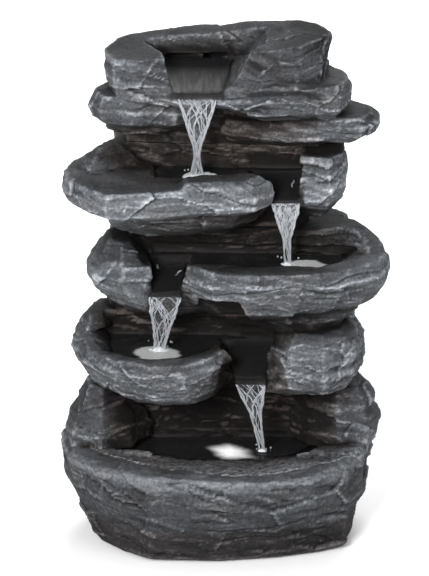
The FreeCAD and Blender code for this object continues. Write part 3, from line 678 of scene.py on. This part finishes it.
def film_material():
    """A thin dark sheet over wet stone, with faint streaks along the flow."""
    made, shader = material("film_water", IOR=1.33, Alpha=0.4, Specular_IOR_Level=0.1)
    streaks = texture(made, 500, detail=4, roughness=0.6, stretch=(1, 0.12, 0.4))
    tone = blended(made, streaks, "Fac", (0.010, 0.010, 0.011), (0.035, 0.036, 0.039))
    wire(made, tone, COLOUR_OUT, shader, "Base Color")
    gloss = remap(made, streaks, "Fac", 0.35, 0.65, 0.5, 0.3)
    wire(made, gloss, "Result", shader, "Roughness")
    bumpy(made, shader, streaks, "Fac", 0.0003, 0.35)
    return made


def running_water_material(name, colour, transmission, roughness):
    """Fast water: clear with white froth in streaks along its fall."""
    made, shader = material(name, IOR=1.33, Roughness=roughness)
    shader.inputs["Transmission Weight"].default_value = transmission
    froth = texture(made, 900, detail=4, roughness=0.65, stretch=(1, 1, 0.22))
    whiteness = remap(made, froth, "Fac", 0.32, 0.68, 0, 1)
    tone = blended(made, whiteness, "Result", tuple(0.62 * c for c in colour), colour)
    wire(made, tone, COLOUR_OUT, shader, "Base Color")
    bumpy(made, shader, froth, "Fac", 0.0006, 0.5)
    return made


def veil_material():
    """A thin sheet of water, broken into streaks. froth says how dense it is."""
    made, shader = material("water_veil", IOR=1.33, Roughness=0.2, Base_Color=(0.50, 0.52, 0.55, 1))
    froth = node(made, "ShaderNodeAttribute", attribute_name="froth")
    threads = texture(made, 1000, detail=4, roughness=0.6, stretch=(1, 1, 0.12))
    streaks = remap(made, threads, "Fac", 0.36, 0.64, 0.1, 1)
    cover = node(made, "ShaderNodeMath", operation="MULTIPLY")
    wire(made, froth, "Fac", cover, 0)
    wire(made, streaks, "Result", cover, 1)
    wire(made, cover, "Value", shader, "Alpha")
    bumpy(made, shader, texture(made, 800, detail=3, stretch=(1, 1, 0.15)), "Fac", 0.0005, 0.6)
    return made


POOL_WATER = pool_material()
FILM_WATER = film_material()
STRAND_WATER = running_water_material("strand_water", (0.46, 0.48, 0.51), 0.45, 0.16)
FOAM = running_water_material("foam", (0.62, 0.65, 0.67), 0.05, 0.4)
VEIL = veil_material()
CELL = 1.0  # of the grid that standing water is made on
CELLS_INTO_ROCK = 2


def water_piece(name, mesh, finish):
    mesh.materials.append(finish)
    piece = link(name, mesh)
    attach(piece, "fountain")


def inside_rock(tree, x, y, z):
    """A point is inside a closed mesh when an odd number of its surfaces lie above it."""
    over = [height for height in crossings(tree, x * MM, y * MM, CAD_BOX[1][2] + 0.1) if height > z * MM]
    return len(over) % 2 == 1


def lobed(angle, seed):
    """An outline factor near 1 that wanders round the circle."""
    ring = np.stack([2.2 * np.cos(angle), 2.2 * np.sin(angle), np.zeros_like(angle)], 1)
    return 1 + 0.22 * fbm(ring, 1.6, seed, 3)


def ripples(x, y, falls, seed):
    """Small waves on a pool, in mm, with rings round each place where water falls in."""
    flat = np.stack([x, y, np.zeros_like(x)], 1)
    waves = 0.16 * fbm(flat, (9, 6, 9), seed, 2)
    for fall_x, fall_y, height in falls:
        away = np.hypot(x - fall_x, y - fall_y)
        waves += height * np.cos(away * 1.5) * np.exp(-away / 7.0)
    return waves


# A lamp's light on a pool, painted on as a glow: the patch's middle, its half sizes, how soft its edge is,
# and its colour.
Glow = namedtuple("Glow", "x y across along softness light")


def glow_at(x, y, glow, seed):
    """How strong the lamp's light is, 0 to 1. A softer patch slants more, and fades more to the right."""
    dx = (x - glow.x) / glow.across
    dy = (y - glow.y) / glow.along + 0.6 * glow.softness * dx
    away = np.hypot(dx, dy) / lobed(np.arctan2(dy, dx), seed)
    patch = 1 - ramp(away, 1 - glow.softness, 1 + glow.softness)
    return patch * (1 - 0.8 * glow.softness * ramp(dx, -0.3, 1.2))


def neighbours(i, j):
    return (i + 1, j), (i - 1, j), (i, j + 1), (i, j - 1)


def flooded(closed):
    """The cells that water reaches from cell (0, 0). closed(i, j) is true where it can't go."""
    cells, edge = {(0, 0)}, [(0, 0)]
    while edge:
        for cell in neighbours(*edge.pop()):
            if cell not in cells and not closed(*cell):
                cells.add(cell)
                edge.append(cell)
    return cells


def standing_water(name, tier, rock, start, seed, falls=(), glow=None, limits=None):
    """Every cell of a fine grid that joins the start without crossing rock or running out over the spillway.
    falls are (x, y, height of the rings). limits are a hollow's reach when it isn't the tier's own."""
    level, (x0, x1), (y0, y1) = POOLS[tier]
    if limits:
        (x0, x1), (y0, y1) = limits
    tree = tree_of(NODES[rock])
    spillway = SPILLWAYS.get(tier)

    def closed(i, j):
        x, y = start[0] + i * CELL, start[1] + j * CELL
        if not (x0 < x < x1 and y0 < y < y1 + 2):
            return True
        if spillway and y < spillway.rear[1] - 1:
            middle, _, half = chute_at(spillway, y)
            if abs(x - middle) < half + 7:
                return True
        return inside_rock(tree, x, y, level)

    cells = flooded(closed)
    for _ in range(CELLS_INTO_ROCK):
        cells |= {beside for cell in cells for beside in neighbours(*cell)}
    corners = sorted({(i + di, j + dj) for i, j in cells for di in (0, 1) for dj in (0, 1)})
    index = {corner: k for k, corner in enumerate(corners)}
    x = start[0] + (np.array([c[0] for c in corners]) - 0.5) * CELL
    y = start[1] + (np.array([c[1] for c in corners]) - 0.5) * CELL
    z = level + ripples(x, y, falls, seed)
    faces = [[index[i, j], index[i + 1, j], index[i + 1, j + 1], index[i, j + 1]] for i, j in sorted(cells)]
    mesh = mesh_of(name, np.stack([x, y, z], 1), faces)
    lit = glow_at(x, y, glow, seed)[:, None] * np.array(glow.light) if glow else np.zeros((len(x), 3))
    store(mesh, "glow", lit)
    water_piece(name, mesh, POOL_WATER)


def grid_faces(rows, columns):
    """The faces between rows of points."""
    return [
        [r * columns + c, r * columns + c + 1, (r + 1) * columns + c + 1, (r + 1) * columns + c]
        for r in range(rows - 1)
        for c in range(columns - 1)
    ]


def film(name, tier, level, seed):
    """The sheet that runs down a spillway's floor, from the pool's surface to the lip."""
    depth, curl, rows, columns = 1.0, 3.4, 60, 28
    spillway = SPILLWAYS[tier]
    rear_y, front_y = spillway.rear[1], spillway.front[1]
    points = []
    for y in np.linspace(rear_y + 4, front_y - 1.4, rows):
        middle, floor, half = chute_at(spillway, y)
        running = floor + depth
        share = float(ramp(np.array(rear_y + 3 - y), 0, 9))
        height = min(level, running + 3) * (1 - share) + running * share
        height -= curl * float(ramp(np.array(front_y + 0.6 - y), 0, 2.0)) ** 1.6
        for across in np.linspace(-1, 1, columns):
            points.append((middle + across * (half + 1.2), y, height + 0.7 * abs(across) ** 6))
    points = np.array(points)
    points[:, 2] += 0.25 * fbm(points, (3.2, 16, 30), seed, 2)
    water_piece(name, mesh_of(name, points, grid_faces(rows, columns)), FILM_WATER)


def tubes(paths, sides=8):
    """Points and faces of round strands. Each path is (points, radii) in mm."""
    points, faces = [], []
    for line, radii in paths:
        tangent = np.gradient(line, axis=0)
        tangent /= np.linalg.norm(tangent, axis=1, keepdims=True)
        across = np.cross(tangent, [0.0, 1.0, 0.05])
        across /= np.linalg.norm(across, axis=1, keepdims=True)
        forward = np.cross(across, tangent)
        first = len(points)
        for k in range(len(line)):
            for s in range(sides):
                turn = 2 * math.pi * s / sides
                points.append(line[k] + radii[k] * (math.cos(turn) * across[k] + math.sin(turn) * forward[k]))
        for k in range(len(line) - 1):
            for s in range(sides):
                a, b = first + k * sides + s, first + k * sides + (s + 1) % sides
                faces.append([a, b, b + sides, a + sides])
        faces.append([first + s for s in range(sides)][::-1])
        faces.append([first + (len(line) - 1) * sides + s for s in range(sides)])
    return points, faces


class Fall:
    """Water falling from a lip to a pool. spread is (share of the fall, half width) from top to bottom."""

    STEPS = 90
    BOW = 1.25  # how far the fall bows forward, halfway down
    EDGE_STRANDS = 4
    THINNEST = 0.07

    def __init__(self, name, lip, foot, spread, strands, froth, seed):
        self.name, self.spread, self.seed = name, spread, seed
        self.lip, self.foot = np.array(lip, float), np.array(foot, float)
        self.rng = np.random.default_rng(seed)
        self.strands(strands)
        self.veil(froth)

    def middle(self, s):
        line = self.lip + (self.foot - self.lip) * s[:, None]
        line[:, 1] -= 4 * self.BOW * s * (1 - s)
        return line

    def half(self, s):
        shares, widths = zip(*self.spread)
        return np.interp(s, shares, widths)

    def edge_strand(self, k, key):
        """How far across the fall a heavy side strand runs, from -1 to 1, and its radius."""
        side, inner = (-1, 1)[k % 2], k // 2
        return side * (1 - 0.12 * inner) + 0.10 * noise(key, 1.0, self.seed), (0.46, 0.34)[inner]

    def crossing_strand(self, s, key):
        """The same for a thin strand that swings between the sides."""
        beats, phase = self.rng.uniform(0.3, 1.0), self.rng.uniform(0, 1)
        swing = np.abs(((s**0.8 * beats + phase) % 1.0) * 2 - 1) * 2 - 1
        return 0.95 * swing + 0.16 * noise(key, 0.8, self.seed + 5), self.rng.uniform(0.15, 0.30)

    def strands(self, crossing):
        s = np.linspace(0, 1, self.STEPS)
        paths = []
        for k in range(self.EDGE_STRANDS + crossing):
            key = np.stack([s * 9, np.full_like(s, 3.1 * k), np.zeros_like(s)], 1)
            if k < self.EDGE_STRANDS:
                across, radius = self.edge_strand(k, key)
            else:
                across, radius = self.crossing_strand(s, key)
            line = self.middle(s)
            line[:, 0] += across * self.half(s)
            line[:, 1] += 0.7 * noise(key, 1.3, self.seed + 11) - 0.5 * abs(math.sin(k * 1.7))
            start = -0.06 + 0.05 * abs(math.sin(k * 2.3))
            radii = radius * (1 + 0.5 * noise(key, 0.55, self.seed + 17)) * ramp(s, start, start + 0.08)
            paths.append((line, np.maximum(radii * (1 + 0.3 * (1 - s)), self.THINNEST)))
        water_piece(self.name + "_strands", mesh_of(self.name, *tubes(paths)), STRAND_WATER)

    def veil(self, froth):
        """A thin sheet between the side strands. froth is (share of the fall, density)."""
        rows, columns = 70, 26
        s = np.repeat(np.linspace(0, froth[-1][0], rows), columns)
        across = np.tile(np.linspace(-0.96, 0.96, columns), rows)
        points = self.middle(s)
        points[:, 0] += across * self.half(s)
        points[:, 1] += 0.5 * fbm(points, (2.6, 9, 14), self.seed + 23, 2)
        mesh = mesh_of(self.name + "_veil", points, grid_faces(rows, columns))
        shares, densities = zip(*froth)
        density = np.interp(s, shares, densities)
        store(mesh, "froth", density * (0.75 + 0.5 * noise(points, (2.4, 6, 5), self.seed + 29)))
        water_piece(self.name + "_veil", mesh, VEIL)


def splash(name, centre, across, along, rise, seed, body=0.7):
    """Foam where a fall meets a pool: a lobed mound. body is its thickness, rise its peak's extra height."""
    rings, spokes = 16, 64
    points = [(centre[0], centre[1], centre[2] + rise)]
    for ring in range(1, rings + 1):
        r = ring / rings
        angle = np.linspace(0, 2 * math.pi, spokes, endpoint=False)
        reach = r * lobed(angle, seed)
        height = rise * (1 - r) ** 1.6 + body * (1 - r**6) - 0.35
        x = centre[0] + across * reach * np.cos(angle)
        y = centre[1] + along * reach * np.sin(angle)
        points += list(zip(x, y, np.full(spokes, centre[2] + height)))
    points = np.array(points)
    points[1:, 2] += 0.35 * fbm(points[1:], 2.2, seed + 3, 3, 0.7)
    faces = [[0, 1 + k, 1 + (k + 1) % spokes] for k in range(spokes)]
    for ring in range(rings - 1):
        first = 1 + ring * spokes
        faces += [
            [first + k, first + spokes + k, first + spokes + (k + 1) % spokes, first + (k + 1) % spokes]
            for k in range(spokes)
        ]
    water_piece(name, mesh_of(name, points, faces), FOAM)


def droplets(name, places, seed):
    """Beads thrown up round each splash. A place is (foot of the fall, spread, rise, count)."""
    rng = np.random.default_rng(seed)
    made = bmesh.new()
    for (x, y, z), spread, rise, count in places:
        for _ in range(count):
            size = rng.uniform(0.25, 0.6)
            angle, reach = rng.uniform(0, 2 * math.pi), spread * rng.uniform(0.35, 1.0)
            height = size + rise * rng.random() ** 2
            centre = Vector((x + reach * math.cos(angle), y + 0.7 * reach * math.sin(angle), z + height))
            bead = bmesh.ops.create_icosphere(made, subdivisions=2, radius=size * MM)["verts"]
            tall = rng.uniform(1.0, 1.5)
            for vertex in bead:
                vertex.co.z *= tall
                vertex.co += centre * MM
    mesh = bpy.data.meshes.new(name)
    made.to_mesh(mesh)
    made.free()
    mesh.shade_smooth()
    water_piece(name, mesh, STRAND_WATER)


def glint_runnels(name, courses):
    """Short bright threads of water that hug the stone: painted glints on the spillways' walls.
    Each course is (start, end, radius).
    """
    paths = []
    for start, end, radius in courses:
        s = np.linspace(0, 1, 16)
        line = np.array(start, float) + (np.array(end, float) - np.array(start, float)) * s[:, None]
        line[:, 0] += 0.35 * np.sin(s * 7)
        paths.append((line, radius * np.sqrt(np.clip(1 - (2 * s - 1) ** 2, 0.04, 1))))
    water_piece(name, mesh_of(name, *tubes(paths)), STRAND_WATER)


# Where each tier's fall lands.
FEET = {
    "crown": (-16, -6.5, 204.2),
    "slab": (33.8, -11, 155.7),
    "middle": (-36.6, -14, 107.2),
    "lower": (20, -13.2, 48.7),
}


def rings_from(tier, height):
    """The one fall into a pool, as standing_water takes it."""
    return [(*FEET[tier][:2], height)]


def beside_foot(tier, lift, aside=0.0):
    x, y, z = FEET[tier]
    return x + aside, y, z + lift


standing_water("basin_pool_water", "basin", "basin_section", (0, -5), 11, rings_from("lower", 0.28),
               Glow(3.4, -17.0, 9, 10, 0.6, (1.15, 1.16, 1.15)))
standing_water("well_water", "basin", "basin_section", (30, 40), 12, limits=((-40, 40), (16, 61)))
standing_water("lower_pool_water", "lower", "lower_bowl_section", (-30, -5), 13, rings_from("middle", 0.24),
               Glow(-38.5, -20.5, 12.5, 11.5, 0.10, (0.40, 0.41, 0.41)))
standing_water("middle_pool_water", "middle", "middle_bowl_section", (0, -5), 14, rings_from("slab", 0.22),
               Glow(43.5, -13.0, 10.5, 8.5, 0.12, (0.40, 0.41, 0.41)))
standing_water("slab_pool_water", "slab", "slab_section", (0, 0), 15, rings_from("crown", 0.26))

film("crown_film", "crown", level=263.6, seed=21)
for seed, tier in enumerate(("slab", "middle", "lower"), start=22):
    film(f"{tier}_film", tier, POOLS[tier].level, seed)

Fall("crown_fall", (-15.6, -22.4, 253.2), FEET["crown"], strands=14, seed=31,
     spread=((0, 10.3), (0.28, 6.6), (0.48, 3.8), (0.6, 2.0), (0.72, 1.4), (0.86, 2.4), (1, 3.9)),
     froth=((0, 0.16), (0.3, 0.22), (0.65, 0.3)))
Fall("slab_fall", (32.8, -18, 192.4), FEET["slab"], strands=9, seed=32,
     spread=((0, 7.6), (0.3, 4.8), (0.58, 1.9), (1, 1.5)),
     froth=((0, 0.75), (0.35, 0.7), (0.6, 0.5)))
Fall("middle_fall", (-33.4, -27, 141.4), FEET["middle"], strands=12, seed=33,
     spread=((0, 8.4), (0.25, 7.2), (0.6, 4.4), (1, 2.6)),
     froth=((0, 0.12), (0.5, 0.2), (0.95, 0.25)))
Fall("lower_fall", (13.5, -28, 91.3), FEET["lower"], strands=10, seed=34,
     spread=((0, 7.8), (0.22, 5.6), (0.42, 2.9), (0.6, 2.2), (1, 1.3)),
     froth=((0, 0.12), (0.25, 0.2), (0.5, 0.25)))
# Painted glints on the spillways' walls, as short bright threads of water.
glint_runnels("spillway_glints", [
    ((20.6, -7.5, 199.8), (22.6, -9, 198.8), 0.55),
    ((37.2, 2, 200.0), (36.2, -5, 197.7), 0.55),
    ((-38.2, 1, 151.5), (-37.2, -2.5, 150.3), 0.6),
    ((-28.0, -7, 147.6), (-24.4, -5, 150.0), 0.6),
])

splash("crown_splash", beside_foot("crown", -0.1, 1.5), across=10.0, along=7.0, rise=0.8, seed=41, body=2.1)
splash("slab_splash", beside_foot("slab", -0.2), across=4.0, along=3.4, rise=1.0, seed=42)
splash("middle_splash", beside_foot("middle", -0.2), across=6.0, along=5.0, rise=1.8, seed=43)
splash("lower_splash", beside_foot("lower", -0.2), across=2.6, along=2.2, rise=0.8, seed=44)
droplets("splash_droplets", seed=51, places=(
    (FEET["crown"], 12, 5, 14),
    (FEET["slab"], 8, 3, 8),
    (FEET["middle"], 9, 5, 12),
    (FEET["lower"], 6, 3, 8),
))


# ---------------------------------------------------------------- CAD nodes that stay in view
def moulded(name, colour, roughness, spread=0.18, scale=260, depth=0.00008, **settings):
    """A moulded or cast finish: slight mottling, uneven gloss and a fine surface texture."""
    made, shader = material(name, **settings)
    mottle = texture(made, scale * 0.35, detail=4, roughness=0.6)
    darker, lighter = (tuple(c * share for c in colour) for share in (1 - spread, 1 + spread))
    tone = blended(made, mottle, "Fac", darker, lighter)
    wire(made, tone, COLOUR_OUT, shader, "Base Color")
    gloss = remap(made, mottle, "Fac", 0.3, 0.7, max(roughness - 0.1, 0.02), min(roughness + 0.1, 1))
    wire(made, gloss, "Result", shader, "Roughness")
    bumpy(made, shader, texture(made, scale * 6, detail=2), "Fac", depth, 0.5)
    return made


def dress(finish, *names):
    for name in names:
        for slot in NODES[name].material_slots:
            slot.material = finish


def of_each_lamp(part):
    return [f"{lamp}_lamp_{part}" for lamp in ("basin", "lower", "middle")]


RUBBER = moulded("black_rubber", (0.018, 0.018, 0.019), 0.62, depth=0.00015)
dress(RUBBER, "cord_grommet", "front_bush", "rear_bush", *(f"suction_cup_{k}" for k in range(1, 5)))
dress(moulded("foot_rubber", (0.07, 0.07, 0.072), 0.8, depth=0.0002), *(f"foot_pad_{k}" for k in range(1, 5)))
dress(moulded("pump_plastic", (0.026, 0.027, 0.030), 0.42), "pump_housing", "volute_cover", "strainer_cover",
      "top_outlet_fitting")
dress(moulded("dial_plastic", (0.20, 0.21, 0.23), 0.38), "flow_dial")
dress(moulded("impeller_plastic", (0.70, 0.71, 0.69), 0.35, spread=0.06), "impeller")
dress(moulded("magnet_ceramic", (0.05, 0.045, 0.045), 0.45, scale=700, depth=0.0002), "rotor_magnet")
dress(moulded("pin_ceramic", (0.80, 0.79, 0.75), 0.16, spread=0.05), "rotor_pin")
dress(moulded("hose_vinyl", (0.62, 0.66, 0.66), 0.22, spread=0.08, Transmission_Weight=0.55, IOR=1.5),
      "riser_hose")
dress(moulded("lamp_plastic", (0.045, 0.045, 0.05), 0.4), "lead_junction",
      *of_each_lamp("body"))
dress(moulded("lead_jacket", (0.022, 0.022, 0.023), 0.5), "pump_lead", *of_each_lamp("lead"))
dress(moulded("lamp_clear", (0.92, 0.94, 0.95), 0.14, spread=0.03, Transmission_Weight=0.9, IOR=1.49),
      *of_each_lamp("lens"))
dress(moulded("lamp_emitter", (0.9, 0.88, 0.66), 0.3, spread=0.08, Emission_Color=(1.0, 0.97, 0.88, 1),
              Emission_Strength=2.5), *of_each_lamp("emitter"))

# ---------------------------------------------------------------- light, floor and camera
world = bpy.data.worlds.new("studio")
world.use_nodes = True
world.node_tree.nodes["Background"].inputs["Color"].default_value = (1, 1, 1, 1)
world.node_tree.nodes["Background"].inputs["Strength"].default_value = 0.5
scene.world = world
scene.view_settings.view_transform = "Standard"


def area_light(name, place, aim, size, power):
    light = bpy.data.lights.new(name, "AREA")
    light.size, light.energy = size, power
    lamp = bpy.data.objects.new(name, light)
    lamp.location = place
    lamp.rotation_euler = (Vector(aim) - Vector(place)).to_track_quat("-Z", "Y").to_euler()
    scene.collection.objects.link(lamp)


area_light("key", (-0.5, -1.75, 0.8), aim=(0, 0, 0.15), size=0.5, power=58)
area_light("fill", (0.9, -1.0, 0.5), aim=(0, 0, 0.13), size=0.8, power=6)
area_light("rear", (0.2, 1.3, 1.2), aim=(0, 0.3, 0.0), size=0.9, power=26)

FLOOR_HALF = 4
floor_corners = [(x * FLOOR_HALF, y * FLOOR_HALF, 0) for x, y in ((-1, -1), (1, -1), (1, 1), (-1, 1))]
floor_mesh = bpy.data.meshes.new("floor")
floor_mesh.from_pydata(floor_corners, [], [(0, 1, 2, 3)])
floor_mesh.materials.append(moulded("floor_paper", (0.93, 0.93, 0.93), 0.9, spread=0.01))
floor = link("floor", floor_mesh)

# A long lens from far away keeps the tiers in nearly parallel view.
CAMERA_DISTANCE = 8.0
LENS_PER_METRE = 113.6
CAMERA_TILT = math.radians(17.5)
AIM_X, AIM_Z = -0.0063, 0.1382
lens = bpy.data.cameras.new("camera")
lens.lens, lens.sensor_width = LENS_PER_METRE * CAMERA_DISTANCE, 36
lens.clip_start, lens.clip_end = 1, 40
camera = bpy.data.objects.new("camera", lens)
rise = CAMERA_DISTANCE * math.sin(CAMERA_TILT)
camera.location = (AIM_X, -CAMERA_DISTANCE * math.cos(CAMERA_TILT), AIM_Z + rise)
camera.rotation_euler = (math.pi / 2 - CAMERA_TILT, 0, 0)
scene.collection.objects.link(camera)
scene.camera = camera
